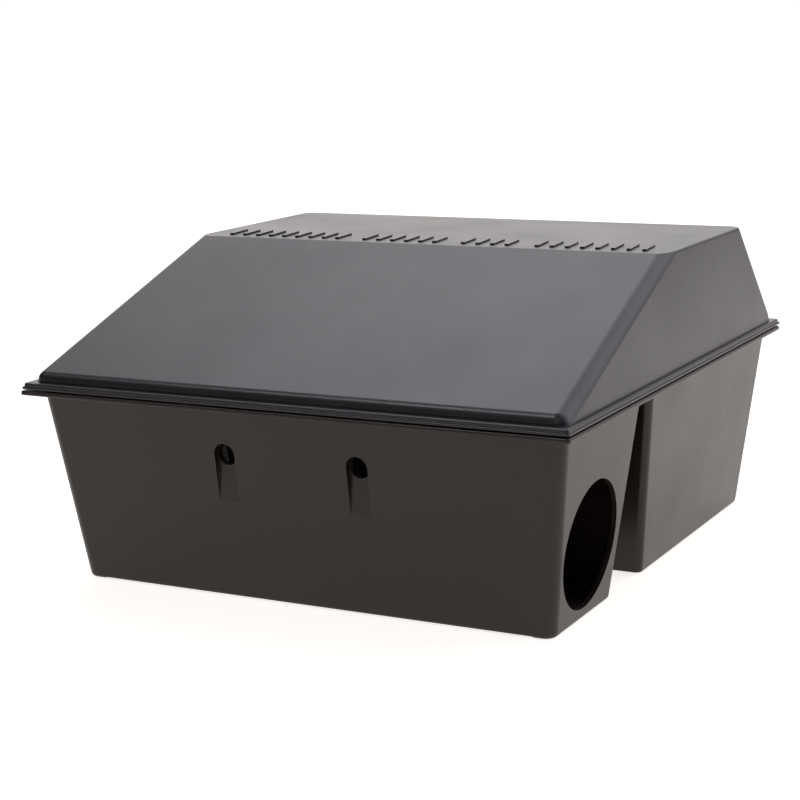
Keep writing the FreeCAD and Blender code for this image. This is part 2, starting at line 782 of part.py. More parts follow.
def is_ring(edge):
    """True of a full circle at an end of a pin."""
    return len(edge.Vertexes) == 1 and isinstance(edge.Curve, Part.Circle)


# ---------------------------------------------------------------- tray, rods and bait
ROD_PLACES = (("front", "@rod_front_y"), ("rear", "@rod_rear_y"))


def tray_form(name, inset, low_z, top_z):
    """The tray's tapered form, drawn in by an inset all round."""
    return tapered_block(
        name, low_z, top_z,
        (f"-@tray_low_x + {inset}", f"@tray_low_x - {inset}",
         f"@tray_front_low + {inset}", f"@tray_back_low - {inset}"),
        (f"-@tray_top_x + {inset}", f"@tray_top_x - {inset}",
         f"@tray_front_low - @tray_flare + {inset}", f"@tray_back_low + @tray_flare - {inset}"),
    )


def make_tray():
    """The lift-out tray: two wells, and notched posts at both ends for the bait rods."""
    outside = rounded("tray_outside", tray_form("tray_form", "0", "@tray_base", "@tray_top"), [
        (is_upright, 6.0),
        (lambda edge: at_height(edge, val("tray_base")), 1.5),
    ])
    inside = rounded("tray_inside", tray_form("tray_room", "@tray_wall", "@tray_base + @tray_wall",
                                              "@tray_top"), [(is_upright, 4.2)])
    added = [cut("tray_shell", outside, [inside])]
    middle = "((@tray_front_low + @tray_back_low) / 2)"
    added.append(block("tray_divider",
                       ("-@tray_top_x + 2", f"{middle} - @tray_wall / 2", "@tray_base + 1"),
                       ("@tray_top_x - 2", f"{middle} + @tray_wall / 2", "@tray_top - 6")))
    removed = []
    for side, sign in SIDES:
        near = "@post_x" if sign > 0 else "-@post_x - @post_thick"
        for row, along in ROD_PLACES:
            label = f"{row}_{side}"
            added.append(block(f"post_{label}",
                               (near, f"{along} - @post_wide / 2", "@tray_base + 1"),
                               (f"{near} + @post_thick", f"{along} + @post_wide / 2", "@post_top")))
            removed.append(block(f"notch_{label}",
                                 (f"{near} - 1", f"{along} - @notch_r", "@rod_z"),
                                 (f"{near} + @post_thick + 1", f"{along} + @notch_r", "@post_top + 1")))
            removed.append(rod_along(f"notch_round_{label}", LIE_ALONG_X, "@notch_r",
                                     "@post_thick + 2", (f"{near} - 1", along, "@rod_z")))
    finish(cut("tray", fuse("tray_features", added), removed), "bait_tray")


def make_rod(row, along):
    """A steel rod along the tray, with its right end bent down as a stop."""
    straight = rod_along(f"rod_{row}_straight", LIE_ALONG_X, "@rod_r", "2 * @rod_half",
                         ("-@rod_half", along, "@rod_z"))
    bend = doc.addObject("Part::Torus", f"rod_{row}_bend")
    bend.Angle3 = 90
    bend.Placement = FreeCAD.Placement(FreeCAD.Vector(0, 0, 0), STAND_UP)
    bind(bend, {
        "Radius1": dim("@rod_bend_r"),
        "Radius2": dim("@rod_r"),
        "Placement.Base.x": dim("@rod_half"),
        "Placement.Base.y": dim(along),
        "Placement.Base.z": dim("@rod_z - @rod_bend_r"),
    })
    leg = rod_along(f"rod_{row}_leg", FreeCAD.Rotation(), "@rod_r", "@rod_leg",
                    ("@rod_half + @rod_bend_r", along, "@rod_z - @rod_bend_r - @rod_leg"))
    finish(fuse(f"rod_{row}", [straight, bend, leg]), "bait_rod_" + row)


BLOCK_PLACES = (("left", -1), ("middle", 0), ("right", 1))


def make_block(row, along, place, step):
    """A pressed wax block, threaded on a rod, with a groove down each long face."""
    label = f"bait_block_{row}_{place}"
    centre = f"{step} * (@block_long + @block_gap)"
    start = f"{centre} - @block_long / 2"
    end = f"{centre} + @block_long / 2"
    half = "@block_side / 2"
    body = block(label + "_form", (start, f"{along} - {half}", f"@rod_z - {half}"),
                 (end, f"{along} + {half}", f"@rod_z + {half}"))
    soft = rounded(label + "_soft", body, [(lambda edge: True, val("block_round"))])
    tools = [rod_along(label + "_bore", LIE_ALONG_X, "@block_bore_r", "@block_long + 2",
                       (f"{start} - 1", along, "@rod_z"))]
    grooves = (("top", "0", half), ("low", "0", f"-{half}"), ("front", f"-{half}", "0"),
               ("back", half, "0"))
    for face, shift, rise in grooves:
        tools.append(rod_along(f"{label}_groove_{face}", LIE_ALONG_X, "@block_groove",
                               "@block_long + 2",
                               (f"{start} - 1", f"{along} + {shift}", f"@rod_z + {rise}")))
    finish(cut(label + "_cut", soft, tools), label)


# ---------------------------------------------------------------- make everything
make_tub()
make_lid()
for side_name, side_sign in SIDES:
    make_latch(side_name, side_sign)
    make_latch_spring(side_name, side_sign)
make_pins()
make_tray()
for row_name, row_y in ROD_PLACES:
    make_rod(row_name, row_y)
    for place_name, place_step in BLOCK_PLACES:
        make_block(row_name, row_y, place_name, place_step)
doc.recompute()

# ---------------------------------------------------------------- check and write
for item in doc.Objects:
    if "Invalid" in item.State or "Error" in item.State:
        raise RuntimeError(f"{item.Name} is {item.State}")
os.makedirs("parts", exist_ok=True)
for piece in pieces:
    shape = piece.Shape
    if shape.isNull() or not shape.isValid() or shape.Volume <= 0:
        raise RuntimeError(piece.Label + " has no valid shape")
    shape.exportStep(os.path.join("parts", piece.Label + ".step"))
    size = shape.BoundBox
    print(f"{piece.Label:26s} solids {len(shape.Solids)}  volume {shape.Volume / 1000:8.2f} cm3  "
          f"x {size.XMin:.2f}..{size.XMax:.2f}  y {size.YMin:.2f}..{size.YMax:.2f}  "
          f"z {size.ZMin:.2f}..{size.ZMax:.2f}")
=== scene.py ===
"""Bait station: the finish of every piece, the wax blocks' pressed form, the studio and the camera.

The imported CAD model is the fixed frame.  Metres, Z up, the keyed front faces -Y.
"""
import json
import math
import random

import bmesh
import bpy
from mathutils import Matrix, Vector
from mathutils.noise import fractal


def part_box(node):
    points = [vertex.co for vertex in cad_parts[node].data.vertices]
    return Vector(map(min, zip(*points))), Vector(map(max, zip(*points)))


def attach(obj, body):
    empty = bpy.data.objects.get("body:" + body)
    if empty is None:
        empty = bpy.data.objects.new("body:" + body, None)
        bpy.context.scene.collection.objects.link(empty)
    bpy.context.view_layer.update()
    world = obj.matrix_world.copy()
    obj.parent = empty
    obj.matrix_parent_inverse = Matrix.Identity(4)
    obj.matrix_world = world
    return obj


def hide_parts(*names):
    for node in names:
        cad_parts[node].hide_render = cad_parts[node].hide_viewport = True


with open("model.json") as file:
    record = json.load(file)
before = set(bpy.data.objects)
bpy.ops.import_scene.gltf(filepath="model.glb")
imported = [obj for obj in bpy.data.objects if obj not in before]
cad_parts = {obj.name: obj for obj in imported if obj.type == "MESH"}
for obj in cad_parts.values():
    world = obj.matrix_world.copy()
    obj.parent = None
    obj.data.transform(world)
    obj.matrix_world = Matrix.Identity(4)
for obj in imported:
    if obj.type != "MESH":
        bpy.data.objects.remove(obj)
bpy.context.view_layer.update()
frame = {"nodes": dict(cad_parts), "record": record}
nodes = frame["nodes"]
MM = 0.001
BROKEN_ENDS = 9             # chips knocked off the ends of each wax block
DUST_TONE = (0.22, 0.205, 0.19, 1)
SPECK_TONE = (0.3, 0.29, 0.28, 1)
BACKDROP = (1.05, 1.05, 1.05, 1)


# ---------------------------------------------------------------- node helpers
def add(tree, kind, inputs=None, **settings):
    """Add a node.  inputs maps a socket's name or number to a value or to another node's socket."""
    made = tree.nodes.new(kind)
    for name, value in settings.items():
        setattr(made, name, value)
    for name, value in (inputs or {}).items():
        socket = made.inputs[name]
        if isinstance(value, bpy.types.NodeSocket):
            tree.links.new(value, socket)
        else:
            socket.default_value = value
    return made


def sums(tree, operation, first, second=0.5):
    """One arithmetic step on two numbers or sockets."""
    step = add(tree, "ShaderNodeMath", {0: first, 1: second}, operation=operation)
    return step.outputs[0]


def remap(tree, value, low, high, to_low=0.0, to_high=1.0):
    """Stretch low..high onto to_low..to_high, held at both ends."""
    step = add(tree, "ShaderNodeMapRange", {
        "Value": value, "From Min": low, "From Max": high, "To Min": to_low, "To Max": to_high,
    }, clamp=True)
    return step.outputs["Result"]


def blend_colours(tree, share, first, second):
    """first where share is 0 and second where it is 1."""
    step = add(tree, "ShaderNodeMix", data_type="RGBA")
    for socket, value in ((step.inputs[0], share), (step.inputs[6], first), (step.inputs[7], second)):
        if isinstance(value, bpy.types.NodeSocket):
            tree.links.new(value, socket)
        else:
            socket.default_value = value
    return step.outputs[2]


def noise(tree, place, scale, detail=2.0, roughness=0.5, distortion=0.0):
    step = add(tree, "ShaderNodeTexNoise", {
        "Vector": place, "Scale": scale, "Detail": detail, "Roughness": roughness,
        "Distortion": distortion,
    })
    return step.outputs["Fac"]


def stretched(tree, place, scale, turn=(0.0, 0.0, 0.0)):
    """Coordinates turned and then scaled by axis, for marks that run one way."""
    step = add(tree, "ShaderNodeMapping", {
        "Vector": place, "Rotation": tuple(math.radians(t) for t in turn), "Scale": scale,
    })
    return step.outputs["Vector"]


def new_group(name, inputs, outputs):
    """A shader node group with named sockets; inputs are (name, type, default)."""
    group = bpy.data.node_groups.new(name, "ShaderNodeTree")
    for socket_name, kind, default in inputs:
        socket = group.interface.new_socket(
            socket_name, in_out="INPUT", socket_type="NodeSocket" + kind)
        if default is not None:
            socket.default_value = default
    for socket_name, kind in outputs:
        group.interface.new_socket(socket_name, in_out="OUTPUT", socket_type="NodeSocket" + kind)
    entry = group.nodes.new("NodeGroupInput")
    leave = group.nodes.new("NodeGroupOutput")
    return group, entry.outputs, leave.inputs


def use(tree, group, inputs):
    """Place a group in a tree with its own values, and give back its outputs."""
    return add(tree, "ShaderNodeGroup", inputs, node_tree=group).outputs


# ---------------------------------------------------------------- shared surface effects
def make_moulded_grain():
    """Spark-eroded mould texture: fine pits, with patches where it is worn flatter."""
    group, given, out = new_group(
        "moulded_grain",
        [("Place", "Vector", None), ("Grain Size", "Float", 0.0006), ("Depth", "Float", 0.000004),
         ("Patch Size", "Float", 0.05)],
        [("Height", "Float"), ("Pits", "Float"), ("Patches", "Float")])
    fine = noise(group, given["Place"], sums(group, "DIVIDE", 1.0, given["Grain Size"]), 3.0, 0.65)
    pits = remap(group, fine, 0.32, 0.68)
    patches = remap(group, noise(group, given["Place"],
                                 sums(group, "DIVIDE", 1.0, given["Patch Size"]), 3.0, 0.55),
                    0.3, 0.7)
    share = sums(group, "MULTIPLY", pits, remap(group, patches, 0.0, 1.0, 0.7, 1.0))
    group.links.new(sums(group, "MULTIPLY", share, given["Depth"]), out["Height"])
    group.links.new(pits, out["Pits"])
    group.links.new(patches, out["Patches"])
    return group


def make_panel_sink():
    """Slow hollows and swells of a thin moulded wall as it cools, longer along Z than across."""
    group, given, out = new_group(
        "panel_sink",
        [("Place", "Vector", None), ("Span", "Float", 0.07), ("Depth", "Float", 0.0001)],
        [("Height", "Float")])
    drawn = stretched(group, given["Place"], (1.0, 1.0, 0.45))
    slow = noise(group, drawn, sums(group, "DIVIDE", 1.0, given["Span"]), 1.0, 0.4)
    group.links.new(sums(group, "MULTIPLY", slow, given["Depth"]), out["Height"])
    return group


def make_edge_rub():
    """Where corners stand proud: handling polishes them and leaves them paler."""
    group, given, out = new_group(
        "edge_rub",
        [("Place", "Vector", None), ("Reach", "Float", 0.0009), ("Break Up", "Float", 0.012)],
        [("Mask", "Float")])
    rounded = add(group, "ShaderNodeBevel", {"Radius": given["Reach"]}, samples=6)
    true = add(group, "ShaderNodeNewGeometry")
    meet = add(group, "ShaderNodeVectorMath",
               {0: rounded.outputs["Normal"], 1: true.outputs["Normal"]}, operation="DOT_PRODUCT")
    corner = remap(group, meet.outputs["Value"], 0.995, 0.8)
    ragged = remap(group, noise(group, given["Place"],
                                sums(group, "DIVIDE", 1.0, given["Break Up"]), 4.0, 0.6), 0.4, 0.62)
    group.links.new(sums(group, "MULTIPLY", corner, ragged), out["Mask"])
    return group


def make_hairlines():
    """Sparse short scuffs in two directions."""
    group, given, out = new_group(
        "hairlines",
        [("Place", "Vector", None), ("Length", "Float", 0.02), ("Amount", "Float", 0.5)],
        [("Mask", "Float")])
    per_metre = sums(group, "DIVIDE", 1.0, given["Length"])
    lines = []
    for turn, width in (((14.0, 5.0, 24.0), 60.0), ((-20.0, 62.0, -9.0), 75.0)):
        drawn = stretched(group, given["Place"], (1.0, width * 0.3, width), turn)
        thread = noise(group, drawn, per_metre, 2.0, 0.6, 0.4)
        where = noise(group, stretched(group, given["Place"], (1.0, 1.0, 1.0), turn),
                      sums(group, "MULTIPLY", per_metre, 0.7), 2.0)
        lines.append(sums(group, "MULTIPLY", remap(group, thread, 0.66, 0.74),
                          remap(group, where, 0.5, 0.62)))
    both = sums(group, "MAXIMUM", lines[0], lines[1])
    group.links.new(sums(group, "MULTIPLY", both, given["Amount"]), out["Mask"])
    return group


def make_settled_dust():
    """Fine dust that lies on what faces up and gathers in corners."""
    group, given, out = new_group(
        "settled_dust",
        [("Place", "Vector", None), ("Up Share", "Float", 0.3), ("Corner Share", "Float", 0.5),
         ("Corner Reach", "Float", 0.006)],
        [("Mask", "Float"), ("Specks", "Float")])
    facing = add(group, "ShaderNodeSeparateXYZ",
                 {0: add(group, "ShaderNodeNewGeometry").outputs["Normal"]})
    upward = remap(group, facing.outputs["Z"], 0.3, 0.98)
    open_sky = add(group, "ShaderNodeAmbientOcclusion", {"Distance": given["Corner Reach"]},
                   samples=6, only_local=True)
    corner = remap(group, open_sky.outputs["AO"], 0.85, 0.35)
    cloud = remap(group, noise(group, given["Place"], 38.0, 6.0, 0.62), 0.38, 0.72)
    speck = remap(group, noise(group, given["Place"], 1500.0, 1.0, 0.5), 0.7, 0.78)
    lying = sums(group, "MULTIPLY", sums(group, "MULTIPLY", upward, cloud), given["Up Share"])
    caught = sums(group, "MULTIPLY", sums(group, "MULTIPLY", corner, cloud), given["Corner Share"])
    group.links.new(sums(group, "MAXIMUM", lying, caught), out["Mask"])
    group.links.new(sums(group, "MULTIPLY", speck, upward), out["Specks"])
    return group


def make_draw_lines():
    """Fine lines left along X by drawing wire through a die."""
    group, given, out = new_group(
        "draw_lines",
        [("Place", "Vector", None), ("Pitch", "Float", 0.0003), ("Depth", "Float", 0.000003)],
        [("Height", "Float"), ("Lines", "Float")])
    drawn = stretched(group, given["Place"], (0.02, 1.0, 1.0))
    lines = noise(group, drawn, sums(group, "DIVIDE", 1.0, given["Pitch"]), 3.0, 0.6)
    group.links.new(sums(group, "MULTIPLY", lines, given["Depth"]), out["Height"])
    group.links.new(remap(group, lines, 0.3, 0.7), out["Lines"])
    return group


def make_pressed_meal():
    """Cereal meal and cut grain bound in wax."""
    group, given, out = new_group(
        "pressed_meal",
        [("Place", "Vector", None), ("Grain Size", "Float", 0.0022)],
        [("Height", "Float"), ("Kernels", "Float"), ("Wax", "Float")])
    per_metre = sums(group, "DIVIDE", 1.0, given["Grain Size"])
    cells = add(group, "ShaderNodeTexVoronoi", {
        "Vector": given["Place"], "Scale": per_metre, "Randomness": 1.0}, feature="F1")
    pick = add(group, "ShaderNodeSeparateXYZ", {0: cells.outputs["Color"]})
    chosen = remap(group, pick.outputs["X"], 0.72, 0.76)
    core = remap(group, cells.outputs["Distance"], 0.52, 0.3)
    kernels = sums(group, "MULTIPLY", chosen, core)
    meal = noise(group, given["Place"], sums(group, "MULTIPLY", per_metre, 3.0), 4.0, 0.6)
    wax = noise(group, given["Place"], 60.0, 4.0, 0.6)
    rough = sums(group, "ADD", sums(group, "MULTIPLY", meal, 0.5),
                 sums(group, "MULTIPLY", kernels, 0.6))
    group.links.new(sums(group, "MULTIPLY", rough, 0.0002), out["Height"])
    group.links.new(kernels, out["Kernels"])
    group.links.new(remap(group, wax, 0.35, 0.65), out["Wax"])
    return group


moulded_grain = make_moulded_grain()
panel_sink = make_panel_sink()
edge_rub = make_edge_rub()
hairlines = make_hairlines()
settled_dust = make_settled_dust()
draw_lines = make_draw_lines()
pressed_meal = make_pressed_meal()


# ---------------------------------------------------------------- materials
def blank_material(name):
    """A material with its shader wired to the output, and the object's own coordinates."""
    material = bpy.data.materials.new(name)
    material.use_nodes = True
    tree = material.node_tree
    tree.nodes.clear()
    shader = tree.nodes.new("ShaderNodeBsdfPrincipled")
    final = tree.nodes.new("ShaderNodeOutputMaterial")
    tree.links.new(shader.outputs["BSDF"], final.inputs["Surface"])
    place = tree.nodes.new("ShaderNodeTexCoord").outputs["Object"]
    return material, tree, shader, place


def raise_surface(tree, shader, height, strength=1.0):
    """Feed a height in metres to the shader's normal."""
    bump = add(tree, "ShaderNodeBump", {"Height": height, "Distance": 1.0, "Strength": strength})
    tree.links.new(bump.outputs["Normal"], shader.inputs["Normal"])


def moulded_plastic(name, dark, pale, gloss, grain_size, grain_depth, sink_depth, scuffs,
                    dust_up, dust_corner, ior=1.46, sheen=(1, 1, 1, 1)):
    """Black polypropylene as it leaves the mould, a little handled."""
    material, tree, shader, place = blank_material(name)
    grain = use(tree, moulded_grain, {"Place": place, "Grain Size": grain_size,
                                      "Depth": grain_depth, "Patch Size": 0.045})
    sink = use(tree, panel_sink, {"Place": place, "Span": 0.06, "Depth": sink_depth})
    rub = use(tree, edge_rub, {"Place": place, "Reach": 0.0008, "Break Up": 0.009})
    lines = use(tree, hairlines, {"Place": place, "Length": 0.022, "Amount": scuffs})
    dust = use(tree, settled_dust, {"Place": place, "Up Share": dust_up,
                                    "Corner Share": dust_corner, "Corner Reach": 0.005})
    body = blend_colours(tree, grain["Patches"], dark, tuple(1.25 * c for c in dark[:3]) + (1,))
    handled = blend_colours(tree, sums(tree, "MULTIPLY", rub["Mask"], 0.35), body, pale)
    scuffed = blend_colours(tree, sums(tree, "MULTIPLY", lines["Mask"], 0.5), handled, pale)
    dusty = blend_colours(tree, dust["Mask"], scuffed, DUST_TONE)
    specked = blend_colours(tree, sums(tree, "MULTIPLY", dust["Specks"], 0.35), dusty, SPECK_TONE)
    tree.links.new(specked, shader.inputs["Base Color"])
    matt = remap(tree, grain["Patches"], 0.0, 1.0, gloss - 0.035, gloss + 0.035)
    matt = sums(tree, "ADD", matt, sums(tree, "MULTIPLY", grain["Pits"], 0.05))
    matt = sums(tree, "SUBTRACT", matt, sums(tree, "MULTIPLY", rub["Mask"], 0.14))
    matt = sums(tree, "ADD", matt, sums(tree, "MULTIPLY", dust["Mask"], 0.35))
    tree.links.new(matt, shader.inputs["Roughness"])
    height = sums(tree, "ADD", grain["Height"], sink["Height"])
    height = sums(tree, "SUBTRACT", height, sums(tree, "MULTIPLY", lines["Mask"], 0.00001))
    raise_surface(tree, shader, height)
    shader.inputs["IOR"].default_value = ior
    shader.inputs["Specular Tint"].default_value = sheen
    return material


def steel(name, colour, gloss, pitch):
    """Zinc-bright drawn wire or tempered strip."""
    material, tree, shader, place = blank_material(name)
    lines = use(tree, draw_lines, {"Place": place, "Pitch": pitch, "Depth": 0.000004})
    grain = use(tree, moulded_grain, {"Place": place, "Grain Size": 0.0009, "Depth": 0.000002,
                                      "Patch Size": 0.008})
    rub = use(tree, edge_rub, {"Place": place, "Reach": 0.0004, "Break Up": 0.004})
    dull = tuple(0.62 * c for c in colour[:3]) + (1,)
    tone = blend_colours(tree, grain["Patches"], colour, dull)
    bright = blend_colours(tree, rub["Mask"], tone, (0.78, 0.78, 0.77, 1))
    tree.links.new(bright, shader.inputs["Base Color"])
    matt = sums(tree, "ADD", gloss, sums(tree, "MULTIPLY", lines["Lines"], 0.12))
    matt = sums(tree, "ADD", matt, sums(tree, "MULTIPLY", grain["Patches"], 0.1))
    tree.links.new(matt, shader.inputs["Roughness"])
    raise_surface(tree, shader, sums(tree, "ADD", lines["Height"], grain["Height"]))
    shader.inputs["Metallic"].default_value = 1.0
    return material


def pressed_wax(name, wax, kernel):
    """Dyed wax block with meal and cut grain in it."""
    material, tree, shader, place = blank_material(name)
    meal = use(tree, pressed_meal, {"Place": place, "Grain Size": 0.0024})
    rub = use(tree, edge_rub, {"Place": place, "Reach": 0.0012, "Break Up": 0.006})
    pale = tuple(min(1.0, 1.6 * c + 0.05) for c in wax[:3]) + (1,)
    body = blend_colours(tree, meal["Wax"], wax, pale)
    seeded = blend_colours(tree, sums(tree, "MULTIPLY", meal["Kernels"], 0.75), body, kernel)
    worn = blend_colours(tree, sums(tree, "MULTIPLY", rub["Mask"], 0.5), seeded, pale)
    tree.links.new(worn, shader.inputs["Base Color"])
    tree.links.new(remap(tree, meal["Kernels"], 0.0, 1.0, 0.42, 0.7), shader.inputs["Roughness"])
    raise_surface(tree, shader, meal["Height"])
    shader.inputs["Subsurface Weight"].default_value = 0.12
    shader.inputs["Subsurface Radius"].default_value = (0.002, 0.0015, 0.001)
    shader.inputs["IOR"].default_value = 1.44
    return material


FINISHES = {
    "tub_plastic": moulded_plastic(
        "tub_plastic", dark=(0.0094, 0.0050, 0.0040, 1), pale=(0.075, 0.072, 0.07, 1), gloss=0.32,
        grain_size=0.0007, grain_depth=0.0000020, sink_depth=0.00026, scuffs=0.55,
        dust_up=0.16, dust_corner=0.10, ior=1.40, sheen=(1.0, 0.975, 0.955, 1)),
    "lid_plastic": moulded_plastic(
        "lid_plastic", dark=(0.0130, 0.0106, 0.0142, 1), pale=(0.085, 0.085, 0.088, 1), gloss=0.30,
        grain_size=0.0010, grain_depth=0.0000200, sink_depth=0.00034, scuffs=0.45,
        dust_up=0.03, dust_corner=0.06, ior=1.44, sheen=(0.985, 0.970, 1.0, 1)),
    "latch_plastic": moulded_plastic(
        "latch_plastic", dark=(0.0090, 0.0088, 0.0090, 1), pale=(0.07, 0.07, 0.07, 1), gloss=0.34,
        grain_size=0.0006, grain_depth=0.0000020, sink_depth=0.00003, scuffs=0.5,
        dust_up=0.10, dust_corner=0.10),
    "tray_plastic": moulded_plastic(
        "tray_plastic", dark=(0.0400, 0.0402, 0.0420, 1), pale=(0.10, 0.10, 0.10, 1), gloss=0.42,
        grain_size=0.0008, grain_depth=0.0000040, sink_depth=0.0001, scuffs=0.6,
        dust_up=0.22, dust_corner=0.20),
    "steel_wire": steel("steel_wire", (0.56, 0.56, 0.55, 1), 0.22, 0.0004),
    "spring_steel": steel("spring_steel", (0.40, 0.40, 0.41, 1), 0.26, 0.0003),
    "bait_wax": pressed_wax("bait_wax", (0.018, 0.115, 0.245, 1), (0.42, 0.30, 0.15, 1)),
}
SLOT_OF = {part["node"]: part["material_slot"] for part in frame["record"]["subparts"]}


def dress(thing, slot):
    """Give an object one finish."""
    thing.data.materials.clear()
    thing.data.materials.append(FINISHES[slot])


for node_name, cad_node in nodes.items():
    dress(cad_node, SLOT_OF[node_name])


# ---------------------------------------------------------------- wax blocks
def scalloped_square(count, half, corner, ridges, depth):
    """Points round a square with rounded corners and shallow flutes down its sides."""
    points = []
    straight = half - corner
    for side in range(4):
        turn = math.radians(90 * side)
        for step in range(count // 4):
            along = 2.0 * step / (count // 4) - 1.0
            if abs(along) <= straight / half:
                across, out = along * half, half
                flute = 0.5 - 0.5 * math.cos(math.pi * ridges * (along * half / straight + 1.0))
                out -= depth * flute
            else:
                bend = math.radians(45) * (abs(along) * half - straight) / corner
                across = math.copysign(straight + corner * math.sin(bend), along)
                out = straight + corner * math.cos(bend)
            points.append((across * math.cos(turn) - out * math.sin(turn),
                           across * math.sin(turn) + out * math.cos(turn)))
    return points


def pressed_block(name, node_name, seed):
    """A fluted wax block with broken corners and a bore, in the place of its plain solid."""
    low, high = (Vector(corner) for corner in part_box(node_name))
    middle = (low + high) / 2
    half_long = (high.x - low.x) / 2
    half = (high.y - low.y) / 2 - 0.1 * MM
    count = 96
    outline = scalloped_square(count, half, 2.6 * MM, 4, 1.1 * MM)
    bore = 3.2 * MM
    ring_of = [(math.hypot(y, z), math.atan2(z, y)) for y, z in outline]
    dice = random.Random(seed)
    chips = []
    for _ in range(BROKEN_ENDS):
        radius, angle = dice.choice(ring_of[8:88])
        end = dice.choice((-1, 1))
        reach = dice.uniform(1.5, 4.5) * MM
        chips.append((Vector((end * half_long, radius * math.cos(angle), radius * math.sin(angle))),
                      reach))

    end_shares = (0.0, 0.25, 0.5, 0.75, 0.92)
    spans = 18
    inset = 0.9 * MM
    sections = [(-half_long, share) for share in end_shares]
    sections += [(-half_long + inset + (2 * half_long - 2 * inset) * step / spans, 1.0)
                 for step in range(spans + 1)]
    sections += [(half_long, share) for share in reversed(end_shares)]
    vertices = []
    for along, share in sections:
        for radius, angle in ring_of:
            reach = bore + 0.5 * MM + (radius - bore - 0.5 * MM) * share
            spot = Vector((along, reach * math.cos(angle), reach * math.sin(angle)))
            rough = fractal(spot * 260.0 + Vector((seed * 7.3, 0, 0)), 0.8, 2.0, 4)
            if share < 1.0:
                inward = Vector((along / half_long, 0.0, 0.0))
            else:
                inward = Vector((0.0, spot.y / half, spot.z / half))
            spot -= inward * (0.22 * MM * abs(rough))
            for chip_centre, size in chips:
                gap = (spot - chip_centre).length / size
                if gap < 1.0:
                    spot -= spot.normalized() * (1.0 - gap) ** 0.6 * size * 0.42
            vertices.append(spot)
    for along in (half_long - 0.5 * MM, 0.0, -half_long + 0.5 * MM):
        for _, angle in ring_of:
            vertices.append(Vector((along, bore * math.cos(angle), bore * math.sin(angle))))
    rings = len(sections) + 3
    faces = []
    for ring in range(rings):
        after = (ring + 1) % rings
        for step in range(count):
            turn = (step + 1) % count
            faces.append((ring * count + step, after * count + step,
                          after * count + turn, ring * count + turn))
    mesh = bpy.data.meshes.new(name)
    mesh.from_pydata([vertex + middle for vertex in vertices], [], faces)
    mesh.validate()
    shape = bmesh.new()
    shape.from_mesh(mesh)
    bmesh.ops.recalc_face_normals(shape, faces=shape.faces)
    shape.to_mesh(mesh)
    shape.free()
    mesh.shade_smooth()
    mesh.set_sharp_from_angle(angle=math.radians(48))
    piece = bpy.data.objects.new(name, mesh)
    bpy.context.scene.collection.objects.link(piece)
    mesh.materials.append(FINISHES["bait_wax"])
    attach(piece, "rod_front" if "front" in node_name else "rod_rear")
    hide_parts(node_name)


block_seed = 11
for row in ("front", "rear"):
    for place in ("left", "middle", "right"):
        pressed_block(f"wax_{row}_{place}", f"bait_block_{row}_{place}", block_seed)
        block_seed += 1


# ---------------------------------------------------------------- softened shells
def soften(node_name, width):
    """Break a moulded piece's sharp edges by a small radius, as its mould has."""
    thing = nodes[node_name]
    weld = thing.modifiers.new("join", "WELD")
    weld.merge_threshold = 0.002 * MM
    flat = thing.modifiers.new("flat_faces", "DECIMATE")
    flat.decimate_type = "DISSOLVE"
    flat.angle_limit = math.radians(0.4)
    bevel = thing.modifiers.new("soft_edges", "BEVEL")
    bevel.width = width
    bevel.segments = 2
    bevel.limit_method = "ANGLE"
    bevel.angle_limit = math.radians(28)
    bevel.use_clamp_overlap = True
    smooth = thing.modifiers.new("flat_shading", "WEIGHTED_NORMAL")
    smooth.mode = "FACE_AREA"
    smooth.weight = 50
    smooth.keep_sharp = False


SOFT_EDGES = {
    "base_tub": 0.35 * MM, "lid_shell": 0.35 * MM, "bait_tray": 0.3 * MM,
    "latch_left": 0.2 * MM, "latch_right": 0.2 * MM,
}
for soft_name, soft_width in SOFT_EDGES.items():
    soften(soft_name, soft_width)


# ---------------------------------------------------------------- marks left by the mould
def ring_mark(shape, centre, radius, proud, facing):
    """A low raised ring, as an ejector pin leaves on the face it pushed."""
    count = 40
    profile = ((-0.30, -0.05), (-0.12, proud), (0.12, proud), (0.30, -0.05))
    rings = []
    for step in range(count):
        angle = 2.0 * math.pi * step / count
        outward = Vector((math.cos(angle), math.sin(angle), 0.0))
        rings.append([shape.verts.new((centre + outward * (radius + along)
                                       + Vector((0, 0, facing * rise))) * MM)
                      for along, rise in profile])
    for step in range(count):
        here, there = rings[step], rings[(step + 1) % count]
        for low in range(len(profile) - 1):
            face = shape.faces.new((here[low], here[low + 1], there[low + 1], there[low]))
            face.smooth = True


def gate_mark(shape, centre, facing):
    """The snapped stub of the runner that fed the mould: a low cone with a torn top."""
    count = 24
    dice = random.Random(5)
    rows = []
    for radius, rise in ((2.6, -0.05), (2.2, 0.25), (1.5, 0.42), (0.9, 0.5), (0.4, 0.34)):
        row = []
        for step in range(count):
            angle = 2.0 * math.pi * step / count
            torn = dice.uniform(-0.09, 0.09) if radius < 1.4 else 0.0
            row.append(shape.verts.new((centre + Vector((
                radius * math.cos(angle), radius * math.sin(angle), facing * (rise + torn)))) * MM))
        rows.append(row)
    for outer, inner in zip(rows, rows[1:]):
        for step in range(count):
            turn = (step + 1) % count
            shape.faces.new((outer[step], outer[turn], inner[turn], inner[step])).smooth = True
    shape.faces.new(rows[-1])


